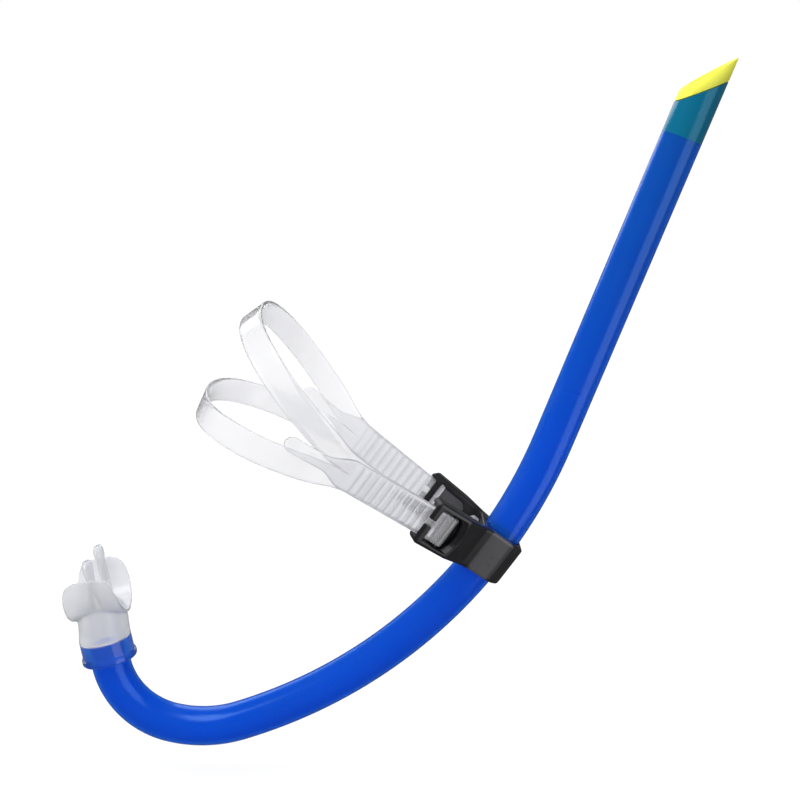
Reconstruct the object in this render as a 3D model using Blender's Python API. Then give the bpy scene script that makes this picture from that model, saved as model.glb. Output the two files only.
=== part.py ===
"""Centre-mount swimming snorkel: a J-shaped tube on a two-armed forehead bracket with a split head strap.

World frame, in metres: the tube's curve lies in the XZ plane, +Z up, the tube's open tip up and to +X.
The origin is the middle of the forehead pad's face, and the head lies on its -X, +Z side.
"Near" parts are on the -Y side and "far" parts on the +Y side; the object is the same on both.
"""

import math

import bmesh
import bpy
from mathutils import Vector

# ---- Driving dimensions, in metres and degrees ----

GAP = 0.0003  # clearance between neighbouring pieces
SLIDE_GAP = 0.0004  # clearance between the tube and what slides or turns on it
WELD = 0.000004  # points this close after a cut are one point

TUBE_RADIUS = 0.0105
TUBE_WALL = 0.0015
TUBE_SIDES = 32
TIP_LEAN = 21.5  # the straight upper tube leans this far from the vertical
STRAIGHT_LENGTH = 0.192  # from the arc up to the middle of the slanted cut
BENDS = ((72.5, 0.265), (104.0, 0.068), (169.0, 0.043))  # (lean where the bend ends, its radius)
BEND_STEPS = (17, 7, 14)
MOUTH_STRAIGHT = 0.0145
CUT_SLANT = 42.0  # of the tube's upper end, to its cross-section

CROWN_SLANT = 50.0  # of the tip's own upper end
CROWN_HEIGHT = 0.0095
PLUG_DEPTH = 0.0245
TIP_BORE_RADIUS = 0.0074

BRACKET_LEAN = 36.1  # lean of the tube where the bracket sits
PAD_FACE = 0.0175  # from the tube's axis to the pad's face, along the bracket's depth
PAD_THICKNESS = 0.0040
PAD_HALF_WIDTH = 0.0118
PAD_HALF_HEIGHT = 0.0095

FRONT_HALF_HEIGHT = 0.0120  # of the bracket at the collar's front
END_HALF_HEIGHT = 0.0127  # and at the arms' ends
COLLAR_FRONT = -0.0140
RIM_ROUND = 0.0014
ARM_ANGLE = 20.0  # each arm's end spreads this far from the bracket's depth
ARM_TIP = (0.0420, 0.0338)  # outer corner of an arm's end: depth, and distance from the middle plane
ARM_THICKNESS = 0.0094
ARM_STRAIGHT = 0.0215  # length of an arm's flat end

WINDOW_HALF = 0.0097
END_BAR = 0.0042
END_BAR_THICKNESS = 0.0020
END_BAR_GAP = (-0.0011, 0.0025)
WINDOW_END = 0.0178
WINDOW_BOW = 0.0034  # how far the window's inner end bows towards the collar
WINDOW_LIP = 0.0032  # depth of the bevel round that end
KEEPER = (0.0044, 0.0078)
KEEPER_TOP = 0.0059
INNER_SLOT_END = 0.0106
POCKET_FLOOR = 0.0071
PANEL_RECESS = 0.0008
PANEL_END = 0.0258
PANEL_ROUND = 0.0045
PANEL_INSET = 0.0004  # the recess's edges, inside the window's
PANEL_LAP = 0.0005  # how far the recess runs into the window
END_CLEARANCE = 0.0005  # round the end bar, where the gap is cut
WINDOW_BEVEL = 0.0022
ARM_CORNER = 0.0036  # radius of an arm's corners, seen from the side
COLLAR_CORNER = 0.0046
BAR_AT = 0.0140
BAR_DEPTH = 0.00395
BAR_RADIUS = 0.0010
BAR_HALF_LENGTH = 0.0106  # its ends are buried in the arm above and below the window

STRAP_HALF = 0.0085
STRAP_THICKNESS = 0.0015
LAYER_OUTER = 0.00305
LAYER_INNER = 0.00485
FOLD_RADIUS = 0.00205
HINGE_DEPTH = 0.0490
FLARE_START = 0.0780
STRAP_FORK = 0.0890  # depth where the two bands part
BAND_FULL = 0.1140  # length by which a band has its full width
BAND_COLUMNS = 3
BAND_STEPS = 4
BAND_HALF = 0.0068
BAND_BEND_RADIUS = 0.040
UPPER_BAND_TURN = 18.0
LOWER_BAND_TURN = -12.0
# Half of each band seen from above: (length along the band past the fork, distance from the middle plane)
UPPER_BAND_PLAN = ((0.015, 0.0535), (0.031, 0.0610), (0.047, 0.0645), (0.063, 0.0615), (0.077, 0.0500),
                   (0.086, 0.0300), (0.089, 0.0))
LOWER_BAND_PLAN = ((0.015, 0.0515), (0.031, 0.0565), (0.045, 0.0575), (0.058, 0.0535), (0.071, 0.0430),
                   (0.079, 0.0255), (0.082, 0.0))
TAIL_LENGTH = 0.084
TAIL_TAB_HALF = 0.0040
TAIL_TAPER = (0.048, 0.062)  # where the tail narrows to its tab, from the arm's end

SLEEVE_RADIUS = 0.0139
BEAD_RADIUS = 0.0148
SLEEVE_OVERLAP = 0.0118
BEAD_HEIGHT = 0.0045
AIRWAY_RADIUS = 0.0088
SHIELD_HEIGHT = 0.0135  # from the tube's end to the shield's middle
SHIELD_OFFSET = -0.0016  # the neck leans this far across before it meets the shield
LUG_SHIFT = -0.0038
SHIELD_HALF_WIDTH = 0.0212
SHIELD_DEPTH = 0.0268
SHIELD_THICKNESS = 0.0016
SHIELD_HALF_ARC = 88.0  # degrees of its half oval, seen along the cross direction
SHIELD_HALF_HEIGHT = 0.0152
LUG_TOP = 0.0480
LUG_OFFSET = 0.0135
LUG_HALF_WIDTH = 0.0050
LUG_HALF_THICKNESS = 0.0027


# ---- Directions and frames ----

def along(lean):
    """Unit direction up the tube where it leans this many degrees from the vertical."""
    a = math.radians(lean)
    return Vector((math.sin(a), 0.0, math.cos(a)))


def inward(lean):
    """Unit direction from the tube's axis towards the middle of its bends."""
    a = math.radians(lean)
    return Vector((-math.cos(a), 0.0, math.sin(a)))


SIDE = Vector((0.0, 1.0, 0.0))
DEPTH = inward(BRACKET_LEAN)  # from the tube towards the head
RISE = along(BRACKET_LEAN)
TUBE_AT_BRACKET = -PAD_FACE * DEPTH
ARC_CENTRE = TUBE_AT_BRACKET + BENDS[0][1] * DEPTH


def in_bracket(depth, side, rise):
    """World point from bracket coordinates."""
    return TUBE_AT_BRACKET + depth * DEPTH + side * SIDE + rise * RISE


# ---- Materials ----

def material(name, colour, roughness, transmission=0.0):
    made = bpy.data.materials.new(name)
    made.use_nodes = True
    shader = made.node_tree.nodes["Principled BSDF"]
    shader.inputs["Base Color"].default_value = (*colour, 1.0)
    shader.inputs["Roughness"].default_value = roughness
    shader.inputs["Metallic"].default_value = 0.0
    shader.inputs["Transmission Weight"].default_value = transmission
    made.diffuse_color = (*colour, 1.0)
    return made


# ---- Mesh helpers ----

def add_object(name, points, faces, finish, smooth_angle=35.0):
    """A new object from points and faces, its normals made to point out."""
    mesh = bpy.data.meshes.new(name)
    mesh.from_pydata([tuple(p) for p in points], [], faces)
    work = bmesh.new()
    work.from_mesh(mesh)
    bmesh.ops.recalc_face_normals(work, faces=work.faces)
    if work.calc_volume(signed=True) < 0:
        bmesh.ops.reverse_faces(work, faces=work.faces)
    work.to_mesh(mesh)
    work.free()
    if finish is not None:
        mesh.materials.append(finish)
    mesh.shade_smooth()
    mesh.set_sharp_from_angle(angle=math.radians(smooth_angle))
    made = bpy.data.objects.new(name, mesh)
    bpy.context.scene.collection.objects.link(made)
    return made


def loft(name, rings, finish, hollow=False, smooth_angle=35.0):
    """Joins rings of equally many points: a hollow one joins its last to its first, a solid one is capped."""
    count = len(rings[0])
    points = [p for ring in rings for p in ring]
    pairs = [(i, i + 1) for i in range(len(rings) - 1)]
    if hollow:
        pairs.append((len(rings) - 1, 0))
    faces = []
    for a, b in pairs:
        for k in range(count):
            j = (k + 1) % count
            faces.append((a * count + k, a * count + j, b * count + j, b * count + k))
    if not hollow:
        faces.append(tuple(range(count)))
        last = (len(rings) - 1) * count
        faces.append(tuple(last + k for k in reversed(range(count))))
    return add_object(name, points, faces, finish, smooth_angle)


def combine(target, tool, operation):
    """Applies one Boolean to target and removes the tool."""
    modifier = target.modifiers.new(operation.lower(), "BOOLEAN")
    modifier.operation = operation
    modifier.solver = "EXACT"
    modifier.object = tool
    bpy.context.view_layer.update()
    graph = bpy.context.evaluated_depsgraph_get()
    result = bpy.data.meshes.new_from_object(target.evaluated_get(graph), depsgraph=graph)
    target.modifiers.clear()
    work = bmesh.new()
    work.from_mesh(result)
    bmesh.ops.remove_doubles(work, verts=work.verts, dist=WELD)
    bmesh.ops.dissolve_degenerate(work, edges=work.edges, dist=WELD)
    work.to_mesh(result)
    work.free()
    old = target.data
    name = old.name
    target.data = result
    bpy.data.meshes.remove(old)
    result.name = name
    bpy.data.objects.remove(tool, do_unlink=True)


def cut(target, tool):
    combine(target, tool, "DIFFERENCE")


def unite(target, tool):
    combine(target, tool, "UNION")


def set_origin(obj, place):
    """Moves an object's origin to a world point and leaves its mesh where it is."""
    for vertex in obj.data.vertices:
        vertex.co -= place
    obj.location = place


def ellipse_ring(centre, first, second, first_radius, second_radius, sides):
    """Points of an ellipse about centre, along two unit directions."""
    ring = []
    for k in range(sides):
        a = 2 * math.pi * k / sides
        ring.append(centre + first * (first_radius * math.cos(a)) + second * (second_radius * math.sin(a)))
    return ring


def slanted_ring(centre, lean, radius, slant, sides=TUBE_SIDES):
    """A round ring about the straight tube, its points slid along it onto a slanted plane."""
    rise = math.tan(math.radians(slant))
    ring = []
    for k in range(sides):
        a = 2 * math.pi * k / sides
        back = radius * math.cos(a)
        sideways = SIDE * (radius * math.sin(a))
        ring.append(centre + inward(lean) * back + sideways - along(lean) * (back * rise))
    return ring


# ---- The tube and its tip ----

def tube_stations():
    """(point on the axis, lean) from the mouth end to the middle of the slanted upper cut."""
    arc_start = ARC_CENTRE - BENDS[0][1] * inward(TIP_LEAN)
    stations = [(arc_start + STRAIGHT_LENGTH * along(TIP_LEAN), TIP_LEAN), (arc_start, TIP_LEAN)]
    centre, lean = ARC_CENTRE, TIP_LEAN
    for (end, radius), steps in zip(BENDS, BEND_STEPS):
        centre = stations[-1][0] + radius * inward(lean)
        for i in range(1, steps + 1):
            here = lean + (end - lean) * i / steps
            stations.append((centre - radius * inward(here), here))
        lean = end
    stations.append((stations[-1][0] - MOUTH_STRAIGHT * along(lean), lean))
    return stations[::-1]


def tube_ring(place, lean, radius):
    return ellipse_ring(place, inward(lean), SIDE, radius, radius, TUBE_SIDES)


def make_tube(finish):
    stations = tube_stations()
    inner = TUBE_RADIUS - TUBE_WALL
    outer_rings = [tube_ring(place, lean, TUBE_RADIUS) for place, lean in stations[:-1]]
    inner_rings = [tube_ring(place, lean, inner) for place, lean in stations[:-1]]
    top, lean = stations[-1]
    outer_rings.append(slanted_ring(top, lean, TUBE_RADIUS, CUT_SLANT))
    inner_rings.append(slanted_ring(top, lean, inner, CUT_SLANT))
    tube = loft("tube", outer_rings + inner_rings[::-1], finish, hollow=True)
    set_origin(tube, ARC_CENTRE)
    return tube


def make_tip_insert(finish):
    """A crown as wide as the tube on a plug that fits its bore, both open down the middle."""
    top, lean = tube_stations()[-1]
    shoulder = top + along(lean) * (GAP / math.cos(math.radians(CUT_SLANT)))
    crown = top + along(lean) * CROWN_HEIGHT
    foot = top - along(lean) * PLUG_DEPTH
    plug = TUBE_RADIUS - TUBE_WALL - GAP
    rings = [
        slanted_ring(foot, lean, plug, 0.0),
        slanted_ring(shoulder, lean, plug, CUT_SLANT),
        slanted_ring(shoulder, lean, TUBE_RADIUS, CUT_SLANT),
        slanted_ring(crown, lean, TUBE_RADIUS, CROWN_SLANT),
        slanted_ring(crown, lean, TIP_BORE_RADIUS, CROWN_SLANT),
        slanted_ring(foot, lean, TIP_BORE_RADIUS, 0.0),
    ]
    return loft("tip_insert", rings, finish, hollow=True)


# ---- The mouthpiece ----

def mouth_frame():
    """The tube's lower end, the direction out of it, and the direction across it in the tube's plane."""
    end, lean = tube_stations()[0]
    return end, -along(lean), -inward(lean)


def mouth_ring(height, across, wide, shift=0.0, sides=32):
    """An oval ring round the mouthpiece's axis, this far past the tube's end and shifted this far across."""
    end, axis, cross = mouth_frame()
    return ellipse_ring(end + axis * height + cross * shift, cross, SIDE, across, wide, sides)


def make_shield():
    """The lip shield: an oval plate bent round an axis across the mouth, its wings towards the teeth."""
    end, axis, cross = mouth_frame()
    steps, rows = 20, 6
    bend_centre = end + axis * (SHIELD_HEIGHT + SHIELD_DEPTH) + cross * SHIELD_OFFSET
    rings = []
    for i in range(steps + 1):
        share = -1 + 2 * i / steps
        share = math.copysign(abs(share) ** 0.8, share) * 0.995
        half = SHIELD_HALF_HEIGHT * (1 - share ** 4) ** 0.25
        angle = math.radians(share * SHIELD_HALF_ARC)
        ring = []
        for inset, order in ((0.0, 1), (SHIELD_THICKNESS, -1)):
            side = SIDE * ((SHIELD_HALF_WIDTH - inset) * math.sin(angle))
            height = -axis * ((SHIELD_DEPTH - inset) * math.cos(angle))
            for j in range(rows + 1):
                ring.append(bend_centre + side + height + cross * (order * half * (-1 + 2 * j / rows)))
        rings.append(ring)
    return loft("shield", rings, None)


def shield_height_at(side):
    """Height of the shield's middle layer, this far from the middle plane."""
    inset = SHIELD_THICKNESS / 2
    share = side / (SHIELD_HALF_WIDTH - inset)
    return SHIELD_HEIGHT + SHIELD_DEPTH - (SHIELD_DEPTH - inset) * math.sqrt(1 - share ** 2)


def to_shield(ring):
    """A ring from the tube's end, each of its points moved along the axis to the shield's middle layer."""
    axis = mouth_frame()[1]
    return [p + axis * shield_height_at(p.y) for p in ring]


def make_lug(side):
    """One bite lug: a rounded tab standing from the shield towards the teeth, with a lip at its end."""
    end, axis, cross = mouth_frame()
    stations = ((0.0, 0.85), (LUG_TOP - 0.0080, 0.85), (LUG_TOP - 0.0050, 1.0), (LUG_TOP - 0.0018, 1.0),
                (LUG_TOP, 0.72))
    rings = []
    for height, size in stations:
        centre = end + axis * height + cross * LUG_SHIFT + SIDE * (side * LUG_OFFSET)
        radii = (LUG_HALF_THICKNESS * size, LUG_HALF_WIDTH * size)
        rings.append(ellipse_ring(centre, cross, SIDE, *radii, 16))
    return loft("lug", [to_shield(rings[0])] + rings[1:], None)


def make_mouthpiece(finish):
    bead_top = BEAD_HEIGHT - SLEEVE_OVERLAP
    body = loft("mouthpiece", [
        mouth_ring(-SLEEVE_OVERLAP, SLEEVE_RADIUS, SLEEVE_RADIUS),
        mouth_ring(-SLEEVE_OVERLAP + 0.0010, BEAD_RADIUS, BEAD_RADIUS),
        mouth_ring(bead_top - 0.0010, BEAD_RADIUS, BEAD_RADIUS),
        mouth_ring(bead_top, SLEEVE_RADIUS, SLEEVE_RADIUS),
        mouth_ring(0.0020, SLEEVE_RADIUS, SLEEVE_RADIUS),
        mouth_ring(0.0060, 0.0136, 0.0138, 0.4 * SHIELD_OFFSET),
        mouth_ring(0.0105, 0.0134, 0.0142, 0.8 * SHIELD_OFFSET),
        to_shield(mouth_ring(0.0, 0.0132, 0.0142, SHIELD_OFFSET)),
    ], finish)
    unite(body, make_shield())
    for side in (-1, 1):
        unite(body, make_lug(side))
    socket = TUBE_RADIUS + SLIDE_GAP
    cut(body, loft("airway", [
        mouth_ring(-SLEEVE_OVERLAP - 0.0020, socket, socket),
        mouth_ring(GAP, socket, socket),
        mouth_ring(GAP, AIRWAY_RADIUS, AIRWAY_RADIUS),
        mouth_ring(0.0085, 0.0080, 0.0090, 0.5 * SHIELD_OFFSET),
        mouth_ring(SHIELD_HEIGHT + 0.0070, 0.0070, 0.0078, SHIELD_OFFSET),
    ], None))
    body.data.materials.clear()
    body.data.materials.append(finish)
    end, _, _ = mouth_frame()
    set_origin(body, end)
    return body


# ---- The bracket and its pad ----

def half_height(depth):
    """The bracket grows taller from the collar's front to the arms' ends."""
    share = (depth - COLLAR_FRONT) / (ARM_TIP[0] - COLLAR_FRONT)
    return FRONT_HALF_HEIGHT + (END_HALF_HEIGHT - FRONT_HALF_HEIGHT) * share


def arm_directions():
    """In (depth, side) of the far arm: towards its end, and out through its outer face."""
    a = math.radians(ARM_ANGLE)
    return Vector((math.cos(a), math.sin(a))), Vector((-math.sin(a), math.cos(a)))


def on_arm(back, below):
    """(depth, side) of a point this far back from the far arm's end and this far under its outer face."""
    out, up = arm_directions()
    return Vector(ARM_TIP) - out * back - up * below


def bracket_outline():
    """Half of the bracket seen along the tube, from the collar's front round to the pad's seat."""
    corner = 0.0016
    half = [
        (COLLAR_FRONT, 0.0), (-0.0137, 0.0035), (-0.0126, 0.0074), (-0.0098, 0.0110), (-0.0062, 0.0136),
        (0.0066, 0.0146), (0.0112, 0.0172), (0.0160, 0.0216),
        on_arm(ARM_STRAIGHT, 0.0),
        on_arm(corner, 0.0),
        on_arm(corner * 0.3, corner * 0.3),
        on_arm(0.0, corner),
        on_arm(0.0, ARM_THICKNESS - corner),
        on_arm(corner * 0.3, ARM_THICKNESS - corner * 0.3),
        on_arm(corner, ARM_THICKNESS),
        on_arm(ARM_STRAIGHT - 0.0015, ARM_THICKNESS),
        (0.0168, 0.0140), (PAD_FACE - PAD_THICKNESS - GAP, 0.0128), (PAD_FACE - PAD_THICKNESS - GAP, 0.0),
    ]
    return [tuple(p) for p in half]


def stand_up(name, outline, rise_of, rim, finish):
    """A prism along the tube, its half height given at each depth, with both rims rounded over."""
    rings = [[in_bracket(d, s, sign * rise_of(d)) for d, s in outline] for sign in (-1, 1)]
    body = loft(name, rings, finish)
    work = bmesh.new()
    work.from_mesh(body.data)
    caps = [face for face in work.faces if len(face.verts) == len(outline)]
    edges = [edge for face in caps for edge in face.edges]
    bmesh.ops.bevel(work, geom=edges, offset=rim, segments=2, profile=0.5, affect="EDGES")
    work.to_mesh(body.data)
    work.free()
    body.data.shade_smooth()
    body.data.set_sharp_from_angle(angle=math.radians(35))
    return body


def arm_prism(far, profile, rise):
    """A prism in arm coordinates, from a profile of (back from the end, below the outer face)."""
    rings = []
    for height in rise:
        ring = []
        for back, below in profile:
            depth, side = on_arm(back, below)
            ring.append(in_bracket(depth, far * side, height))
        rings.append(ring)
    return loft("arm_cutter", rings, None)


def box_profile(back, below):
    return [(back[0], below[0]), (back[1], below[0]), (back[1], below[1]), (back[0], below[1])]


def buckle_profile():
    """What is open in one arm, seen along the tube: round the end bar, over the keeper, into the pocket."""
    past = 0.0010  # how far the cut stands proud of the arm
    return [
        (-past, END_BAR_THICKNESS), (END_BAR, END_BAR_THICKNESS), (END_BAR, -past),
        (WINDOW_END - GAP, -past), (WINDOW_END - GAP, POCKET_FLOOR),
        (INNER_SLOT_END, POCKET_FLOOR), (INNER_SLOT_END, ARM_THICKNESS + past),
        (KEEPER[1], ARM_THICKNESS + past), (KEEPER[1], KEEPER_TOP), (KEEPER[0], KEEPER_TOP),
        (KEEPER[0], ARM_THICKNESS + past), (-past, ARM_THICKNESS + past),
    ]


def flat_prism(far, profile, below):
    """A prism through an arm, from a profile of (back from the end, rise)."""
    rings = []
    for level in below:
        ring = []
        for back, rise in profile:
            depth, side = on_arm(back, level)
            ring.append(in_bracket(depth, far * side, rise))
        rings.append(ring)
    return loft("arm_cutter", rings, None)


def window_end(far):
    """What the window's inner end opens: bowed towards the collar, and bevelled out to the arm's face."""
    half = WINDOW_HALF + GAP
    rings = []
    for below, back in ((-WINDOW_BEVEL, WINDOW_END + 2 * WINDOW_BEVEL), (WINDOW_LIP, WINDOW_END),
                        (POCKET_FLOOR - GAP, WINDOW_END)):
        profile = [(INNER_SLOT_END, -half)]
        for k in range(13):
            share = -1 + k / 6
            profile.append((back - GAP + WINDOW_BOW * (1 - share ** 2), half * share))
        profile.append((INNER_SLOT_END, half))
        ring = []
        for along_arm, rise in profile:
            depth, side = on_arm(along_arm, below)
            ring.append(in_bracket(depth, far * side, rise))
        rings.append(ring)
    return loft("window_end", rings, None)


def corner_profile(height, radius, sign):
    """What rounds a corner off: (back from the end, rise), outside a quarter circle."""
    past = 0.0010
    profile = [(-past, sign * (height + past)), (-past, sign * (height - radius))]
    for k in range(6):
        a = math.radians(18 * k)
        profile.append((radius * (1 - math.cos(a)), sign * (height - radius * (1 - math.sin(a)))))
    profile.append((radius, sign * (height + past)))
    return profile


def collar_corner(sign):
    """What rounds the collar's front off above or below."""
    height = half_height(COLLAR_FRONT) + GAP
    rings = []
    for side in (-2 * TUBE_RADIUS, 2 * TUBE_RADIUS):
        rings.append([in_bracket(COLLAR_FRONT + back, side, rise)
                      for back, rise in corner_profile(height, COLLAR_CORNER, sign)])
    return loft("collar_corner", rings, None)


def panel_profile():
    """The recess in an arm's inner face, seen square on, its inner end rounded."""
    half = WINDOW_HALF - PANEL_INSET
    profile = [(INNER_SLOT_END - PANEL_LAP, half), (INNER_SLOT_END - PANEL_LAP, -half)]
    for sign in (-1, 1):
        for k in range(5):
            a = math.radians(22.5 * (k if sign < 0 else 4 - k))
            profile.append((PANEL_END - PANEL_ROUND * (1 - math.sin(a)),
                            sign * (half - PANEL_ROUND * (1 - math.cos(a)))))
    return profile


def collar_bore():
    """A length of the tube's own arc, wider by the sliding gap."""
    rings = []
    for i in range(9):
        lean = BRACKET_LEAN - 4.4 + 8.8 * i / 8
        place = ARC_CENTRE - BENDS[0][1] * inward(lean)
        rings.append(tube_ring(place, lean, TUBE_RADIUS + SLIDE_GAP))
    return loft("collar_bore", rings, None)


def make_bracket(finish):
    half = bracket_outline()
    outline = half + [(depth, -side) for depth, side in half[-2:0:-1]]
    body = stand_up("bracket", outline, half_height, RIM_ROUND, finish)
    for sign in (-1, 1):
        cut(body, collar_corner(sign))
    cut(body, collar_bore())
    past = 0.0010
    for far in (-1, 1):
        for sign in (-1, 1):
            corner = corner_profile(half_height(ARM_TIP[0]) + GAP, ARM_CORNER, sign)
            cut(body, flat_prism(far, corner, (-past, ARM_THICKNESS + past)))
        cut(body, arm_prism(far, buckle_profile(), (-WINDOW_HALF, WINDOW_HALF)))
        cut(body, window_end(far))
        end_gap = box_profile((-past, END_BAR + END_CLEARANCE), (-past, END_BAR_THICKNESS + END_CLEARANCE))
        cut(body, arm_prism(far, end_gap, END_BAR_GAP))
        cut(body, flat_prism(far, panel_profile(), (ARM_THICKNESS - PANEL_RECESS, ARM_THICKNESS + past)))
        depth, side = on_arm(BAR_AT, BAR_DEPTH)
        ends = [in_bracket(depth, far * side, rise) for rise in (-BAR_HALF_LENGTH, BAR_HALF_LENGTH)]
        bar = [ellipse_ring(end, DEPTH, SIDE, BAR_RADIUS, BAR_RADIUS, 12) for end in ends]
        unite(body, loft("strap_bar", bar, None))
    body.data.materials.clear()
    body.data.materials.append(finish)
    return body


def make_forehead_pad(finish):
    """A soft block with a flat face, its edges rounded off towards the head."""
    rings = []
    for thickness, shrink in ((0.0, 0.0), (PAD_THICKNESS - 0.0012, 0.0), (PAD_THICKNESS - 0.0004, 0.0006),
                              (PAD_THICKNESS, 0.0016)):
        depth = PAD_FACE - PAD_THICKNESS + thickness
        ring = []
        for k in range(32):
            a = 2 * math.pi * (k + 0.5) / 32
            c, s = math.cos(a), math.sin(a)
            side = math.copysign(abs(c) ** 0.5, c) * (PAD_HALF_WIDTH - shrink)
            rise = math.copysign(abs(s) ** 0.5, s) * (PAD_HALF_HEIGHT - shrink)
            ring.append(in_bracket(depth, side, rise))
        rings.append(ring)
    return loft("forehead_pad", rings, finish)


# ---- The strap ----

def smooth_through(points, per_span):
    """Points of a Catmull-Rom curve through the given ones."""
    padded = [points[0] * 2 - points[1]] + list(points) + [points[-1] * 2 - points[-2]]
    result = []
    for i in range(1, len(padded) - 2):
        before, start, end, after = padded[i - 1:i + 3]
        for k in range(per_span):
            t = k / per_span
            square = 2 * before - 5 * start + 4 * end - after
            cube = 3 * start - before - 3 * end + after
            result.append(0.5 * (2 * start + (end - before) * t + square * t ** 2 + cube * t ** 3))
    result.append(points[-1])
    return result


def strap_layer(back, below, far):
    """World point in the buckle's layers, in arm coordinates; a negative back is outside the arm."""
    depth, side = on_arm(back, below)
    return in_bracket(depth, far * side, 0.0)


def ribbon(name, centres, widths, halves, thickness, finish):
    """A flat strip swept along its centres, with a width direction and a half width at each."""
    rings = []
    for i, (centre, wide, half) in enumerate(zip(centres, widths, halves)):
        ahead = centres[min(i + 1, len(centres) - 1)]
        behind = centres[max(i - 1, 0)]
        face = (ahead - behind).cross(wide).normalized() * (thickness / 2)
        across = wide * half
        rings.append([centre - across - face, centre + across - face, centre + across + face,
                      centre - across + face])
    return loft(name, rings, finish, smooth_angle=40.0)


def make_fold(name, far, finish):
    """The strap inside one buckle: in under the end bar, round the strap bar and back out."""
    start = 0.0016
    layers = [strap_layer(-start, LAYER_INNER, far), strap_layer(KEEPER[1], LAYER_INNER, far)]
    tail = [strap_layer(KEEPER[1], LAYER_OUTER, far), strap_layer(-start, LAYER_OUTER, far)]
    turn = []
    for i in range(13):
        a = math.radians(-105 + 210 * i / 12)
        back, below = BAR_AT + FOLD_RADIUS * math.cos(a), BAR_DEPTH - FOLD_RADIUS * math.sin(a)
        turn.append(strap_layer(back, below, far))
    centres = layers + turn + tail
    count = len(centres)
    fold = ribbon(name, centres, [RISE] * count, [STRAP_HALF] * count, STRAP_THICKNESS, finish)
    cut(fold, hinge_disc(far, STRAP_HALF + GAP))
    fold.data.materials.clear()
    fold.data.materials.append(finish)
    return fold


def hinge_point():
    return in_bracket(HINGE_DEPTH, 0.0, 0.0)


def hinge_disc(far, radius):
    """A round block about the strap's hinge axis, on one side of the object."""
    rings = []
    for side in (0.015, 0.060):
        rings.append(ellipse_ring(hinge_point() + SIDE * (far * side), DEPTH, RISE, radius, radius, 32))
    return loft("hinge_disc", rings, None)


def band_half(length):
    """Half of one band's width at this length past the bracket; up to the fork, a quarter of the strap."""
    share = min(max((length - FLARE_START) / (BAND_FULL - FLARE_START), 0.0), 1.0)
    return STRAP_HALF / 2 + (BAND_HALF - STRAP_HALF / 2) * share * share * (3 - 2 * share)


def band_place(length, turn):
    """A band's middle, seen side on, and its width direction. It keeps to its half of the strap as far as
    the fork, then turns by this angle through one arc and goes straight on."""
    sense = math.copysign(1.0, turn)
    if length <= STRAP_FORK:
        return in_bracket(length, 0.0, sense * band_half(length)), RISE
    arc = BAND_BEND_RADIUS * math.radians(abs(turn))
    past = length - STRAP_FORK
    angle = min(past, arc) / BAND_BEND_RADIUS
    straight = max(past - arc, 0.0)
    depth = STRAP_FORK + BAND_BEND_RADIUS * math.sin(angle) + straight * math.cos(angle)
    rise = band_half(STRAP_FORK) + BAND_BEND_RADIUS * (1 - math.cos(angle)) + straight * math.sin(angle)
    wide = RISE * math.cos(angle) - DEPTH * (sense * math.sin(angle))
    return in_bracket(depth, 0.0, sense * rise), wide


def run_side(depth):
    """The inner layer's distance from the middle plane as it goes straight on from the arm."""
    start = on_arm(0.0, LAYER_INNER)
    return start.y + (depth - start.x) * math.tan(math.radians(ARM_ANGLE - 1.0))


def half_plan(plan):
    """The near half of a band seen from above, from before the fork to the middle of the back."""
    lead = [Vector((d, run_side(d))) for d in (FLARE_START, 0.0835, STRAP_FORK)]
    return lead + [Vector((STRAP_FORK + length, side)) for length, side in plan]


def strap_row(points, centre, wide, ahead, half, columns):
    """Adds one station's points, from its upper edge down: the side away from the head, then the side to it.
    Returns the two lists of their numbers."""
    face = ahead.cross(wide).normalized() * (STRAP_THICKNESS / 2)
    rows = []
    for shift in (-face, face):
        first = len(points)
        points += [centre + wide * (half * (1 - 2 * j / columns)) + shift for j in range(columns + 1)]
        rows.append(list(range(first, first + columns + 1)))
    return rows


def join_rows(faces, start, end):
    """The skins and both edges between two stations."""
    outer, inner = start
    next_outer, next_inner = end
    for j in range(len(outer) - 1):
        faces.append((outer[j], outer[j + 1], next_outer[j + 1], next_outer[j]))
        faces.append((inner[j + 1], inner[j], next_inner[j], next_inner[j + 1]))
    for j in (0, -1):
        faces.append((outer[j], inner[j], next_inner[j], next_outer[j]))


def close_row(faces, row):
    outer, inner = row
    for j in range(len(outer) - 1):
        faces.append((outer[j], inner[j], inner[j + 1], outer[j + 1]))


def run_rows(points, far):
    """The stations of one ribbed end, from its round end at the hinge to the fork, in the band's direction."""
    lengths = [HINGE_DEPTH - STRAP_HALF * math.cos(math.radians(a)) for a in range(3, 90, 12)]
    lengths += [HINGE_DEPTH, 0.0560, 0.0640, 0.0720, FLARE_START, 0.0810, 0.0840, 0.0865, STRAP_FORK]
    ahead = (in_bracket(STRAP_FORK, far * run_side(STRAP_FORK), 0.0)
             - in_bracket(HINGE_DEPTH, far * run_side(HINGE_DEPTH), 0.0)) * -far
    rows = []
    for length in lengths:
        short = max(HINGE_DEPTH - length, 0.0)
        half = 2 * band_half(length) if short == 0.0 else math.sqrt(STRAP_HALF ** 2 - short ** 2)
        centre = in_bracket(length, far * run_side(length), 0.0)
        rows.append(strap_row(points, centre, RISE, ahead, half, 2 * BAND_COLUMNS))
    return rows if far < 0 else rows[::-1]


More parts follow.
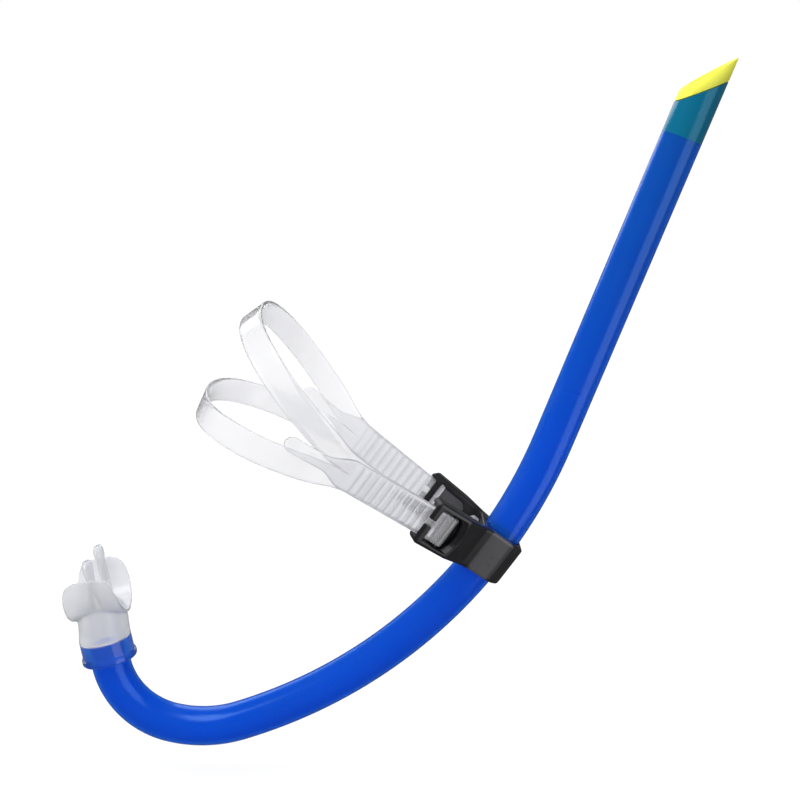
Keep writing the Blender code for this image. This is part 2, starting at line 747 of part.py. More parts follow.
def band_rows(points, turn, plan):
    """The stations of one band between the two forks, from the near side round behind the head."""
    half = half_plan(plan)
    mirrored = [Vector((p.x, -p.y)) for p in half[-2::-1]]
    curve = [p for p in smooth_through(half + mirrored, BAND_STEPS) if p.x > STRAP_FORK + GAP]
    places = [band_place(p.x, turn) for p in curve]
    centres = [place - SIDE * p.y for (place, _), p in zip(places, curve)]
    rows = []
    for i, ((_, wide), p) in enumerate(zip(places, curve)):
        ahead = centres[min(i + 1, len(curve) - 1)] - centres[max(i - 1, 0)]
        rows.append(strap_row(points, centres[i], wide, ahead, band_half(p.x), BAND_COLUMNS))
    return rows


def make_bands(finish):
    """The two ribbed runs and the two bands between them, one moulding."""
    points, faces = [], []
    near, far = run_rows(points, -1), run_rows(points, 1)
    for rows in (near, far):
        for start, end in zip(rows, rows[1:]):
            join_rows(faces, start, end)
    close_row(faces, near[0])
    close_row(faces, far[-1])
    upper_half = slice(0, BAND_COLUMNS + 1)
    lower_half = slice(BAND_COLUMNS, None)
    for half, turn, plan in ((upper_half, UPPER_BAND_TURN, UPPER_BAND_PLAN),
                             (lower_half, LOWER_BAND_TURN, LOWER_BAND_PLAN)):
        rows = [[skin[half] for skin in near[-1]]] + band_rows(points, turn, plan)
        rows.append([skin[half] for skin in far[0]])
        for start, end in zip(rows, rows[1:]):
            join_rows(faces, start, end)
    bands = add_object("strap_bands", points, faces, finish, 40.0)
    set_origin(bands, hinge_point())
    return bands


def outermost_side(length):
    """The distance from the middle plane of whichever band stands further out at this length."""
    found = run_side(length)
    for plan in (UPPER_BAND_PLAN, LOWER_BAND_PLAN):
        curve = smooth_through(half_plan(plan), 3)
        for a, b in zip(curve, curve[1:]):
            if a.x <= length < b.x:
                found = max(found, a.y + (b.y - a.y) * (length - a.x) / (b.x - a.x))
    return found


def make_tail(name, far, finish):
    """The loose end past the buckle, lying on the outside of the run and narrowing to a rounded tab."""
    shift = LAYER_INNER - LAYER_OUTER
    steps = 24
    centres, halves = [], []
    for i in range(steps + 1):
        length = HINGE_DEPTH + (TAIL_LENGTH - (HINGE_DEPTH - ARM_TIP[0])) * i / steps
        past = length - ARM_TIP[0]
        blend = min(max((past - TAIL_TAPER[0]) / (TAIL_TAPER[1] - TAIL_TAPER[0]), 0.0), 1.0)
        half = STRAP_HALF + (TAIL_TAB_HALF - STRAP_HALF) * blend * blend * (3 - 2 * blend)
        remaining = TAIL_LENGTH - past
        if remaining < TAIL_TAB_HALF:
            half = max(math.sqrt(max(TAIL_TAB_HALF ** 2 - (TAIL_TAB_HALF - remaining) ** 2, 0.0)), 0.0006)
        halves.append(half)
        lift = shift + 0.0004 + 0.0010 * min(max(past - 0.020, 0.0) / 0.020, 1.0)
        centres.append(in_bracket(length, far * (outermost_side(length) + lift), 0.0))
    count = len(centres)
    tail = ribbon(name, centres, [RISE] * count, halves, STRAP_THICKNESS, finish)
    set_origin(tail, hinge_point())
    return tail


# ---- The whole object ----

def main():
    for obj in list(bpy.data.objects):
        bpy.data.objects.remove(obj, do_unlink=True)
    blue = material("tube_blue", (0.01, 0.10, 0.55), 0.12, 0.3)
    yellow = material("tip_yellow", (0.95, 0.90, 0.10), 0.25, 0.3)
    clear = material("clear_silicone", (0.80, 0.82, 0.86), 0.30, 0.6)
    black = material("bracket_black", (0.015, 0.015, 0.018), 0.35)
    grey = material("pad_grey", (0.45, 0.45, 0.52), 0.50, 0.3)
    make_tube(blue)
    make_tip_insert(yellow)
    make_mouthpiece(clear)
    make_bracket(black)
    make_forehead_pad(grey)
    make_fold("strap_near_fold", -1, clear)
    make_fold("strap_far_fold", 1, clear)
    make_bands(clear)
    make_tail("strap_near_tail", -1, clear)
    make_tail("strap_far_tail", 1, clear)


main()
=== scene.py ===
import math

import bpy
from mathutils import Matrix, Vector


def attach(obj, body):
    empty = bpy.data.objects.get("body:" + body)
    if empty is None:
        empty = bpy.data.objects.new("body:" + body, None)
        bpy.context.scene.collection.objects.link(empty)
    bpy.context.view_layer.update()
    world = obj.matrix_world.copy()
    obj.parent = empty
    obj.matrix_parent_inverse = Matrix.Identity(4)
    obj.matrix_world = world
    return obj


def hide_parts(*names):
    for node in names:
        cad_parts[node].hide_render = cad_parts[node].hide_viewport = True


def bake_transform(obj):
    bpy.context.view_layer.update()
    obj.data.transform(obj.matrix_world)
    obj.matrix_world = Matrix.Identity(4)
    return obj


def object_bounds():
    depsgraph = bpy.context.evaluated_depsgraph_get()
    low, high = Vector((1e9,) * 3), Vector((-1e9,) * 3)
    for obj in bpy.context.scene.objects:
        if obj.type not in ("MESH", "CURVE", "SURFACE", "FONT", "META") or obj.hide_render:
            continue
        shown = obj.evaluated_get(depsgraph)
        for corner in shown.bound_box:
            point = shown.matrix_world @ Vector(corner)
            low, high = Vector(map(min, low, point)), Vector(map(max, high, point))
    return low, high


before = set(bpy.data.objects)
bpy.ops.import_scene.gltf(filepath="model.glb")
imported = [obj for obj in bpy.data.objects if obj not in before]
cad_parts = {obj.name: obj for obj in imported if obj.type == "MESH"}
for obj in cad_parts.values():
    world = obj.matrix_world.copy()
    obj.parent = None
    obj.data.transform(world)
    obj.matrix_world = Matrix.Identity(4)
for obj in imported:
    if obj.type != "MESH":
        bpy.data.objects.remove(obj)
CAD_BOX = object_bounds()

# ---- Sizes shared with the CAD, in metres and degrees ----

GAP = 0.0003  # clearance between neighbouring pieces
TUBE_RADIUS = 0.0105
TUBE_WALL = 0.0015
TIP_LEAN = 21.5  # the straight upper tube leans this far from the vertical
STRAIGHT_LENGTH = 0.192  # from the arc up to the middle of the slanted cut
BENDS = ((72.5, 0.265), (104.0, 0.068), (169.0, 0.043))  # (lean where the bend ends, its radius)
MOUTH_STRAIGHT = 0.0145
CUT_SLANT = 42.0  # of the tube's upper end, to its cross-section
CROWN_SLANT = 50.0  # of the tip's own upper end
CROWN_HEIGHT = 0.0095
PLUG_DEPTH = 0.0245
TIP_BORE_RADIUS = 0.0074

BRACKET_LEAN = 36.1  # lean of the tube where the bracket sits
PAD_FACE = 0.0175  # from the tube's axis to the pad's face, along the bracket's depth
ARM_ANGLE = 20.0  # each arm's end spreads this far from the bracket's depth
ARM_TIP = (0.0420, 0.0338)  # outer corner of an arm's end: depth, and distance from the middle plane
BAR_AT = 0.0140
BAR_DEPTH = 0.00395
KEEPER_INNER = 0.0078

STRAP_HALF = 0.0085
STRAP_THICKNESS = 0.0015
LAYER_OUTER = 0.00305  # depths of the strap's two layers under an arm's outer face
LAYER_INNER = 0.00485
FOLD_RADIUS = 0.00205
FLARE_START = 0.0780
STRAP_FORK = 0.0890  # depth where the two bands part
BAND_FULL = 0.1140  # length by which a band has its full width
BAND_HALF = 0.0068
BAND_BEND_RADIUS = 0.040
UPPER_BAND_TURN = 18.0
LOWER_BAND_TURN = -12.0
# (length past the fork, distance from the middle plane) of half a band
UPPER_BAND_PLAN = ((0.015, 0.0535), (0.031, 0.0610), (0.047, 0.0645), (0.063, 0.0615), (0.077, 0.0500),
                   (0.086, 0.0300), (0.089, 0.0))
LOWER_BAND_PLAN = ((0.015, 0.0515), (0.031, 0.0565), (0.045, 0.0575), (0.058, 0.0535), (0.071, 0.0430),
                   (0.079, 0.0255), (0.082, 0.0))
TAIL_LENGTH = 0.084
TAIL_TAB_HALF = 0.0040
TAIL_TAPER = (0.048, 0.062)  # where the tail narrows to its tab, from the arm's end

SLEEVE_RADIUS = 0.0139
BEAD_RADIUS = 0.0148
SLEEVE_OVERLAP = 0.0118
BEAD_HEIGHT = 0.0045
AIRWAY_RADIUS = 0.0088
SHIELD_HEIGHT = 0.0135  # from the tube's end to the shield's middle
SHIELD_OFFSET = -0.0016  # the neck leans this far across before it meets the shield
LUG_SHIFT = -0.0038
SHIELD_HALF_WIDTH = 0.0212
SHIELD_DEPTH = 0.0268
SHIELD_THICKNESS = 0.0016
SHIELD_HALF_ARC = 88.0  # degrees of its half oval, seen along the cross direction
SHIELD_HALF_HEIGHT = 0.0152
LUG_TOP = 0.0480
LUG_OFFSET = 0.0135
LUG_HALF_WIDTH = 0.0050
LUG_HALF_THICKNESS = 0.0027

# ---- Detail that only the picture has ----

SIDES = 72  # points round the tube and the tip
MOUTH_SIDES = 64
BEND_STEPS = (40, 20, 44)
LOWER_RIM_ROUND = 0.0004
CUT_CHAMFER = 0.0003
PLUG_EDGE = 0.0002  # half the step between clear and teal, where the plug ends under the tube's wall
PLUG_CHAMFER = 0.0005
LIP_ROUND = 0.0006  # of the tip's crown
BEAD_CHAMFER = 0.0010

MOUTHPIECE_MELT = (0.0005, 8)  # voxel size and rounds of smoothing
BRACKET_MELT = (0.00032, 6)
PAD_MELT = (0.0004, 8)

PANEL_DEPTHS = (-0.0062, 0.0078)  # the collar's flat side, painted grey as a painted reflection
PANEL_SIDE = 0.0115
PANEL_HALF = 0.0140
PANEL_FADE = 0.0022
RECESS_BACK = (0.0100, 0.0255)  # the sunk panel in an arm's inner face, back from the arm's end
RECESS_BELOW = (0.0082, 0.0089)  # and under its outer face
RECESS_HALF = 0.0090
RECESS_MARK = 0.75
SLEEVE_FADE = 0.0012  # past the tube's end, where the clear sleeve turns milky

RIB_PITCH = 0.0045
RIB_HALF = 0.0009
RIB_HEIGHT = 0.0005
RIB_FLANK = 1.6  # how steeply a ridge rises
RIB_MARK = 0.75  # how strongly a ridge is painted darker grey in the clear strap
RIB_REACH = (0.80, 0.94)  # a ridge fades out between these shares of the half width
EDGE_MARK = 0.30  # how strongly painted shade darkens the strap's edges
EDGE_START = 0.90  # share of the half width where the edges' rounding begins
EDGE_FADE = 0.065
EDGE_THIN = 0.25  # of the thickness is left at the very edge
ACROSS = (1.0, 0.965, 0.90, 0.60, 0.0, -0.60, -0.90, -0.965, -1.0)  # where a band's points lie across it
COLUMNS = len(ACROSS) - 1  # of faces across one band; a run has twice as many
RUN_ACROSS = tuple((1 + a) / 2 for a in ACROSS) + tuple((a - 1) / 2 for a in ACROSS[1:])
END_STEP = 0.00055  # between stations of a strap end
BAND_STEP = 0.0016  # and of a band


def along(lean):
    """The direction up a tube that leans this far from the vertical."""
    a = math.radians(lean)
    return Vector((math.sin(a), 0.0, math.cos(a)))


def inward(lean):
    """The direction across such a tube, in the middle plane, to the inside of its bends."""
    a = math.radians(lean)
    return Vector((-math.cos(a), 0.0, math.sin(a)))


SIDE = Vector((0.0, 1.0, 0.0))
DEPTH = inward(BRACKET_LEAN)  # from the tube towards the head
RISE = along(BRACKET_LEAN)
TUBE_AT_BRACKET = -PAD_FACE * DEPTH
ARC_CENTRE = TUBE_AT_BRACKET + BENDS[0][1] * DEPTH


def in_bracket(depth, side, rise):
    """A point given in the bracket's own directions, from the tube's axis."""
    return TUBE_AT_BRACKET + depth * DEPTH + side * SIDE + rise * RISE


def clamped(value):
    return min(max(value, 0.0), 1.0)


def eased(share):
    """A share from 0 to 1 with a soft start and end."""
    return share * share * (3 - 2 * share)


# ---- Camera, light and floor ----

CAMERA_TARGET = Vector((-0.0333, 0.0, 0.0707))
CAMERA_LIFT = 11.0
CAMERA_DISTANCE = 0.720
CAMERA_LENS = 62.3
LAMP_TARGET = Vector((-0.03, 0.0, 0.05))
# name, direction from the target, distance, (width, height) and watts
LAMPS = (("key", (-0.32, -0.40, 0.86), 1.1, (0.65, 0.65), 5.0),
         ("right", (0.78, -0.62, -0.10), 1.0, (0.80, 1.4), 6.5),
         ("back", (-0.30, 0.85, 0.55), 1.2, (0.8, 0.8), 3.0))
REFLECTED_ONLY = "right"  # this lamp shows in glossy surfaces and lights no matt ones
WORLD_LIGHT = (0.22, 1.15)  # on matt surfaces, from the dim side and from the bright one
BRIGHT_SIDE = (-0.45, -0.40, 0.80)
BRIGHT_SPREAD = 0.8  # the light is full from this cosine to the bright side, and dimmest at its opposite
WORLD_REFLECTED = 0.14
WORLD_SEEN = 1.0
FLOOR_GREY = 0.20
FLOOR_GLOW = 0.82
FLOOR_REACH = 6.0
FLOOR_DROP = 0.020  # the tube's bend comes lower than the CAD box when it slides


def look_at(obj, target):
    obj.rotation_euler = (target - obj.location).to_track_quat("-Z", "Y").to_euler()


def set_range(node, source, result):
    """Sets a Map Range node to turn one (low, high) pair into another."""
    for name, value in zip(("From Min", "From Max", "To Min", "To Max"), (*source, *result)):
        node.inputs[name].default_value = value


def make_world():
    """White surroundings seen directly or through clear parts, soft light on matt ones, dim reflections."""
    world = bpy.data.worlds.new("studio")
    world.use_nodes = True
    tree = world.node_tree
    link = tree.links.new
    path = tree.nodes.new("ShaderNodeLightPath")
    seen = tree.nodes.new("ShaderNodeMath")
    seen.operation = "MAXIMUM"
    link(path.outputs["Is Camera Ray"], seen.inputs[0])
    link(path.outputs["Is Transmission Ray"], seen.inputs[1])
    place = tree.nodes.new("ShaderNodeTexCoord")
    towards = tree.nodes.new("ShaderNodeVectorMath")
    towards.operation = "DOT_PRODUCT"
    towards.inputs[1].default_value = Vector(BRIGHT_SIDE).normalized()
    link(place.outputs["Generated"], towards.inputs[0])
    even = tree.nodes.new("ShaderNodeMapRange")
    set_range(even, (-BRIGHT_SPREAD, BRIGHT_SPREAD), WORLD_LIGHT)
    link(towards.outputs["Value"], even.inputs["Value"])
    lit = tree.nodes.new("ShaderNodeMix")
    link(even.outputs["Result"], lit.inputs["A"])
    lit.inputs["B"].default_value = WORLD_REFLECTED
    link(path.outputs["Is Glossy Ray"], lit.inputs["Factor"])
    strength = tree.nodes.new("ShaderNodeMix")
    link(seen.outputs["Value"], strength.inputs["Factor"])
    link(lit.outputs["Result"], strength.inputs["A"])
    strength.inputs["B"].default_value = WORLD_SEEN
    shade = tree.nodes["Background"]
    shade.inputs["Color"].default_value = (1.0, 1.0, 1.0, 1.0)
    link(strength.outputs["Result"], shade.inputs["Strength"])
    bpy.context.scene.world = world


def make_camera():
    lift = math.radians(CAMERA_LIFT)
    camera = bpy.data.objects.new("camera", bpy.data.cameras.new("camera"))
    camera.location = CAMERA_TARGET + Vector((0.0, -math.cos(lift), math.sin(lift))) * CAMERA_DISTANCE
    look_at(camera, CAMERA_TARGET)
    camera.data.sensor_width = 36.0
    camera.data.lens = CAMERA_LENS
    camera.data.clip_start = 0.01
    bpy.context.scene.collection.objects.link(camera)
    bpy.context.scene.camera = camera


def make_lamps():
    for name, direction, distance, size, energy in LAMPS:
        light = bpy.data.lights.new(name, "AREA")
        light.shape = "RECTANGLE"
        light.size, light.size_y = size
        light.energy = energy
        lamp = bpy.data.objects.new(name, light)
        lamp.location = LAMP_TARGET + Vector(direction).normalized() * distance
        look_at(lamp, LAMP_TARGET)
        lamp.visible_diffuse = name != REFLECTED_ONLY
        bpy.context.scene.collection.objects.link(lamp)


def make_floor():
    """A glowing floor as white as the world, so that no horizon shows. It lights nothing."""
    mesh = bpy.data.meshes.new("floor")
    far, low = FLOOR_REACH, CAD_BOX[0][2] - FLOOR_DROP
    corners = [(-far, -far, low), (far, -far, low), (far, far, low), (-far, far, low)]
    mesh.from_pydata(corners, [], [(0, 1, 2, 3)])
    floor = bpy.data.objects.new("floor", mesh)
    finish = bpy.data.materials.new("floor_paint")
    finish.use_nodes = True
    shader = finish.node_tree.nodes["Principled BSDF"]
    shader.inputs["Base Color"].default_value = (FLOOR_GREY, FLOOR_GREY, FLOOR_GREY, 1.0)
    shader.inputs["Emission Color"].default_value = (1.0, 1.0, 1.0, 1.0)
    shader.inputs["Emission Strength"].default_value = FLOOR_GLOW
    shader.inputs["Roughness"].default_value = 0.9
    shader.inputs["Specular IOR Level"].default_value = 0.0
    mesh.materials.append(finish)
    floor.visible_glossy = False
    floor.visible_diffuse = False
    floor.visible_shadow = False
    bpy.context.scene.collection.objects.link(floor)


# ---- Materials ----

TUBE_SHINE = (0.45, 0.80, 1.0, 1.0)
NOISE_MIDDLE = (0.3, 0.7)  # most of a noise texture's values lie between these
GRAIN_STRENGTH = 0.2


def finish_of(name, colours, roughness, patch, grain, grain_depth, fixed, marked=None):
    """A moulded finish: two near colours in soft patches, uneven roughness and a fine surface grain.

    patch and grain are the scales of their noise. marked is a vertex attribute, with the colour and, if it
    differs, the transmission that the surface takes where it is 1.
    """
    made = bpy.data.materials.new(name)
    made.use_nodes = True
    tree = made.node_tree
    link = tree.links.new
    shader = tree.nodes["Principled BSDF"]
    place = tree.nodes.new("ShaderNodeTexCoord")

    def noise(scale, detail):
        node = tree.nodes.new("ShaderNodeTexNoise")
        node.inputs["Scale"].default_value = scale
        node.inputs["Detail"].default_value = detail
        link(place.outputs["Object"], node.inputs["Vector"])
        return node.outputs["Fac"]

    mix = tree.nodes.new("ShaderNodeMix")
    mix.data_type = "RGBA"
    mix.inputs["A"].default_value = (*colours[0], 1.0)
    mix.inputs["B"].default_value = (*colours[1], 1.0)
    link(noise(patch, 3.0), mix.inputs["Factor"])
    colour = mix.outputs["Result"]
    if marked:
        mark = tree.nodes.new("ShaderNodeAttribute")
        mark.attribute_name = marked[0]
        over = tree.nodes.new("ShaderNodeMix")
        over.data_type = "RGBA"
        over.inputs["B"].default_value = (*marked[1], 1.0)
        link(mark.outputs["Fac"], over.inputs["Factor"])
        link(colour, over.inputs["A"])
        colour = over.outputs["Result"]
        if marked[2] is not None:
            clear = tree.nodes.new("ShaderNodeMix")
            clear.inputs["A"].default_value = fixed["Transmission Weight"]
            clear.inputs["B"].default_value = marked[2]
            link(mark.outputs["Fac"], clear.inputs["Factor"])
            link(clear.outputs["Result"], shader.inputs["Transmission Weight"])
    link(colour, shader.inputs["Base Color"])

    rough = tree.nodes.new("ShaderNodeMapRange")
    set_range(rough, NOISE_MIDDLE, roughness)
    link(noise(patch * 4.0, 5.0), rough.inputs["Value"])
    link(rough.outputs["Result"], shader.inputs["Roughness"])

    bump = tree.nodes.new("ShaderNodeBump")
    bump.inputs["Strength"].default_value = GRAIN_STRENGTH
    bump.inputs["Distance"].default_value = grain_depth
    link(noise(grain, 2.0), bump.inputs["Height"])
    link(bump.outputs["Normal"], shader.inputs["Normal"])
    for socket, value in fixed.items():
        shader.inputs[socket].default_value = value
    return made


def make_finishes():
    return {
        "tube": finish_of(
            "tube_plastic", ((0.0, 0.180, 0.86), (0.0, 0.158, 0.80)), (0.18, 0.24),
            18.0, 700.0, 0.00001,
            {"Transmission Weight": 0.72, "IOR": 1.45, "Specular Tint": TUBE_SHINE},
            ("plug", (0.0, 0.19, 0.34), 0.35)),
        "tip": finish_of(
            "tip_rubber", ((0.90, 0.90, 0.09), (0.87, 0.87, 0.07)), (0.42, 0.55),
            60.0, 1500.0, 0.00004,
            {"Specular IOR Level": 0.3}),
        "mouth": finish_of(
            "mouthpiece_silicone", ((0.84, 0.85, 0.88), (0.81, 0.82, 0.85)), (0.12, 0.17),
            50.0, 500.0, 0.00001,
            {"Transmission Weight": 0.60, "IOR": 1.41},
            ("sleeve", (0.90, 0.94, 0.99), 1.0)),
        # the bracket's panel mark paints grey over the black: a painted reflection on the collar's flat
        # sides, and grey in the arms' recesses
        "bracket": finish_of(
            "bracket_plastic", ((0.006, 0.006, 0.008), (0.009, 0.009, 0.011)), (0.26, 0.38),
            45.0, 2200.0, 0.00003,
            {"IOR": 1.5},
            ("panel", (0.075, 0.075, 0.082), None)),
        "pad": finish_of(
            "pad_silicone", ((0.60, 0.58, 0.66), (0.54, 0.52, 0.60)), (0.3, 0.42),
            80.0, 1500.0, 0.00003,
            {"Transmission Weight": 0.5, "IOR": 1.41}),
        # the strap's edge mark paints grey: painted shade on its rounded edges, and darker grey on its ridges
        "strap": finish_of(
            "strap_silicone", ((0.94, 0.94, 0.96), (0.91, 0.91, 0.935)), (0.10, 0.18),
            40.0, 500.0, 0.00001,
            {"Transmission Weight": 0.80, "IOR": 1.41},
            ("edge", (0.50, 0.50, 0.55), None)),
    }


# ---- Mesh helpers ----

def new_object(name, points, faces, finish, smooth_angle=40.0):
    mesh = bpy.data.meshes.new(name)
    mesh.from_pydata([tuple(p) for p in points], [], faces)
    mesh.validate()
    mesh.shade_smooth()
    mesh.set_sharp_from_angle(angle=math.radians(smooth_angle))
    if finish is not None:
        mesh.materials.append(finish)
    made = bpy.data.objects.new(name, mesh)
    bpy.context.scene.collection.objects.link(made)
    return made


def loft(name, rings, finish, hollow=False, smooth_angle=40.0):
    """A skin over rings of equally many points, closed by end faces or, if hollow, back to the first ring."""
    count = len(rings[0])
    points = [p for ring in rings for p in ring]
    pairs = [(i, i + 1) for i in range(len(rings) - 1)] + ([(len(rings) - 1, 0)] if hollow else [])
    faces = []
    for a, b in pairs:
        for k in range(count):
            j = (k + 1) % count
            faces.append((a * count + k, a * count + j, b * count + j, b * count + k))
    if not hollow:
        faces.append(tuple(reversed(range(count))))
        last = (len(rings) - 1) * count
        faces.append(tuple(last + k for k in range(count)))
    return new_object(name, points, faces, finish, smooth_angle)


def volume_of(mesh):
    mesh.calc_loop_triangles()
    total = 0.0
    for triangle in mesh.loop_triangles:
        a, b, c = (mesh.vertices[i].co for i in triangle.vertices)
        total += a.dot(b.cross(c))
    return total / 6.0


def outward(obj):
    """Turns a closed mesh right side out."""
    if volume_of(obj.data) < 0.0:
        obj.data.flip_normals()
    return obj


def applied(obj):
    """Replaces an object's mesh by what its modifiers make of it."""
    bpy.context.view_layer.update()
    graph = bpy.context.evaluated_depsgraph_get()
    made = bpy.data.meshes.new_from_object(obj.evaluated_get(graph), depsgraph=graph)
    obj.modifiers.clear()
    obj.data = made
    return obj


def boolean(obj, tool, operation):
    step = obj.modifiers.new("boolean", "BOOLEAN")
    step.operation = operation
    step.solver = "EXACT"
    step.object = tool
    applied(obj)
    bpy.data.objects.remove(tool, do_unlink=True)


def melt(obj, voxel, rounds):
    """Makes one skin of overlapping closed shapes and rounds its edges."""
    step = obj.modifiers.new("remesh", "REMESH")
    step.mode = "VOXEL"
    step.voxel_size = voxel
    step.use_smooth_shade = True
    soft = obj.modifiers.new("soft", "SMOOTH")
    soft.factor = 0.5
    soft.iterations = rounds
    applied(obj)


def repainted(obj, finish):
    """Gives a smooth mesh this finish alone."""
    obj.data.materials.clear()
    obj.data.materials.append(finish)
    obj.data.shade_smooth()


def joined(name, parts, finish):
    """One object from several, whose shapes may overlap."""
    points, faces = [], []
    for part in parts:
        first = len(points)
        points += [vertex.co.copy() for vertex in part.data.vertices]
        faces += [tuple(first + i for i in face.vertices) for face in part.data.polygons]
        bpy.data.objects.remove(part, do_unlink=True)
    return new_object(name, points, faces, finish)


def ellipse_ring(centre, first, second, first_radius, second_radius, sides):
    ring = []
    for k in range(sides):
        a = 2 * math.pi * k / sides
        ring.append(centre + first * (first_radius * math.cos(a)) + second * (second_radius * math.sin(a)))
    return ring


def slanted_ring(centre, lean, radius, slant):
    """A ring round a tube of this lean, in a plane at this slant to the tube's cross-section."""
    rise = math.tan(math.radians(slant))
    ring = []
    for k in range(SIDES):
        a = 2 * math.pi * k / SIDES
        back = radius * math.cos(a)
        sideways = SIDE * (radius * math.sin(a))
        ring.append(centre + inward(lean) * back + sideways - along(lean) * (back * rise))
    return ring


# ---- The tube and its tip ----

def tube_stations():
    """(place, lean) along the tube's axis, from the mouthpiece's end to the tip."""
    arc_start = ARC_CENTRE - BENDS[0][1] * inward(TIP_LEAN)
    stations = [(arc_start + STRAIGHT_LENGTH * along(TIP_LEAN), TIP_LEAN), (arc_start, TIP_LEAN)]
    lean = TIP_LEAN
    for (end, radius), steps in zip(BENDS, BEND_STEPS):
        centre = stations[-1][0] + radius * inward(lean)
        for i in range(1, steps + 1):
            here = lean + (end - lean) * i / steps
            stations.append((centre - radius * inward(here), here))
        lean = end
    stations.append((stations[-1][0] - MOUTH_STRAIGHT * along(lean), lean))
    return stations[::-1]


def tube_ring(place, lean, radius):
    return ellipse_ring(place, inward(lean), SIDE, radius, radius, SIDES)


def make_tube(finish):
    """The bent tube, its lower rim rounded and its upper end cut at a slant with a small chamfer."""
    stations = tube_stations()
    inner = TUBE_RADIUS - TUBE_WALL
    low, low_lean = stations[0]
    top, lean = stations[-1]
    rings = [tube_ring(low, low_lean, TUBE_RADIUS - LOWER_RIM_ROUND),
             tube_ring(low + along(low_lean) * LOWER_RIM_ROUND, low_lean, TUBE_RADIUS)]
    rings += [tube_ring(place, here, TUBE_RADIUS) for place, here in stations[1:-1]]
    for depth in (PLUG_DEPTH + PLUG_EDGE, PLUG_DEPTH - PLUG_EDGE):
        rings.append(tube_ring(top - along(lean) * depth, lean, TUBE_RADIUS))
    rings.append(slanted_ring(top - along(lean) * CUT_CHAMFER, lean, TUBE_RADIUS, CUT_SLANT))
    rings.append(slanted_ring(top, lean, TUBE_RADIUS - CUT_CHAMFER, CUT_SLANT))
    rings.append(slanted_ring(top, lean, inner, CUT_SLANT))
    rings += [tube_ring(place, here, inner) for place, here in stations[-2::-1]]
    tube = outward(loft("blue_tube", rings, finish, hollow=True, smooth_angle=30.0))
    plug = tube.data.attributes.new("plug", "FLOAT", "POINT")
    for vertex, mark in zip(tube.data.vertices, plug.data):
        off = vertex.co - top
        near_top = off.length < PLUG_DEPTH + 2 * TUBE_RADIUS
        mark.value = 1.0 if near_top and off.dot(along(lean)) > -PLUG_DEPTH else 0.0
    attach(tube, "tube")
    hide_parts("tube")


def make_tip(finish):
    """The soft insert: a plug in the bore and a slanted crown with rounded lips."""
    top, lean = tube_stations()[-1]
    up = along(lean)
    shoulder = top + up * (GAP / math.cos(math.radians(CUT_SLANT)))
    crown = top + up * CROWN_HEIGHT
    foot = top - up * PLUG_DEPTH
    plug = TUBE_RADIUS - TUBE_WALL - GAP
    bend = LIP_ROUND * 0.3
    rings = [
        slanted_ring(foot + up * PLUG_CHAMFER, lean, plug, 0.0),
        slanted_ring(shoulder, lean, plug, CUT_SLANT),
        slanted_ring(shoulder, lean, TUBE_RADIUS - 0.0002, CUT_SLANT),
        slanted_ring(shoulder + up * CUT_CHAMFER, lean, TUBE_RADIUS, CUT_SLANT),
        slanted_ring(crown - up * LIP_ROUND, lean, TUBE_RADIUS, CROWN_SLANT),
        slanted_ring(crown - up * bend, lean, TUBE_RADIUS - bend, CROWN_SLANT),
        slanted_ring(crown, lean, TUBE_RADIUS - LIP_ROUND, CROWN_SLANT),
        slanted_ring(crown, lean, TIP_BORE_RADIUS + LIP_ROUND, CROWN_SLANT),
        slanted_ring(crown - up * bend, lean, TIP_BORE_RADIUS + bend, CROWN_SLANT),
        slanted_ring(crown - up * LIP_ROUND, lean, TIP_BORE_RADIUS, CROWN_SLANT),
        slanted_ring(foot, lean, TIP_BORE_RADIUS, 0.0),
        slanted_ring(foot, lean, plug - PLUG_CHAMFER, 0.0),
    ]
    tip = outward(loft("yellow_tip", rings, finish, hollow=True, smooth_angle=50.0))
    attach(tip, "tube")
    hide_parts("tip_insert")


# ---- The mouthpiece ----

def mouth_frame():
    """The middle of the tube's lower end, the direction out of it, and the one across it."""
    end, lean = tube_stations()[0]
    return end, -along(lean), -inward(lean)


def mouth_ring(height, across, wide, shift=0.0):
    """An oval ring this far past the tube's end, or over the tube where height is negative."""
    end, axis, cross = mouth_frame()
    return ellipse_ring(end + axis * height + cross * shift, cross, SIDE, across, wide, MOUTH_SIDES)


def make_shield():
    """The lip shield: half an oval seen along the cross direction, its stations closer towards its ends."""
    end, axis, cross = mouth_frame()
    steps, rows = 40, 12
    bend_centre = end + axis * (SHIELD_HEIGHT + SHIELD_DEPTH) + cross * SHIELD_OFFSET
    rings = []
    for i in range(steps + 1):
        share = -1 + 2 * i / steps
        share = math.copysign(abs(share) ** 0.8, share) * 0.995
        half = SHIELD_HALF_HEIGHT * (1 - share ** 4) ** 0.25
        angle = math.radians(share * SHIELD_HALF_ARC)
        ring = []
        for inset, order in ((0.0, 1), (SHIELD_THICKNESS, -1)):
            side = SIDE * ((SHIELD_HALF_WIDTH - inset) * math.sin(angle))
            height = -axis * ((SHIELD_DEPTH - inset) * math.cos(angle))
            for j in range(rows + 1):
                ring.append(bend_centre + side + height + cross * (order * half * (-1 + 2 * j / rows)))
        rings.append(ring)
    return outward(loft("shield", rings, None))


def to_shield(ring):
    """A ring from the tube's end, each of its points moved along the axis to the shield's middle layer."""
    axis = mouth_frame()[1]
    inset = SHIELD_THICKNESS / 2
    moved = []
    for p in ring:
        share = p.y / (SHIELD_HALF_WIDTH - inset)
        bend = (SHIELD_DEPTH - inset) * math.sqrt(1 - share ** 2)
        moved.append(p + axis * (SHIELD_HEIGHT + SHIELD_DEPTH - bend))
    return moved


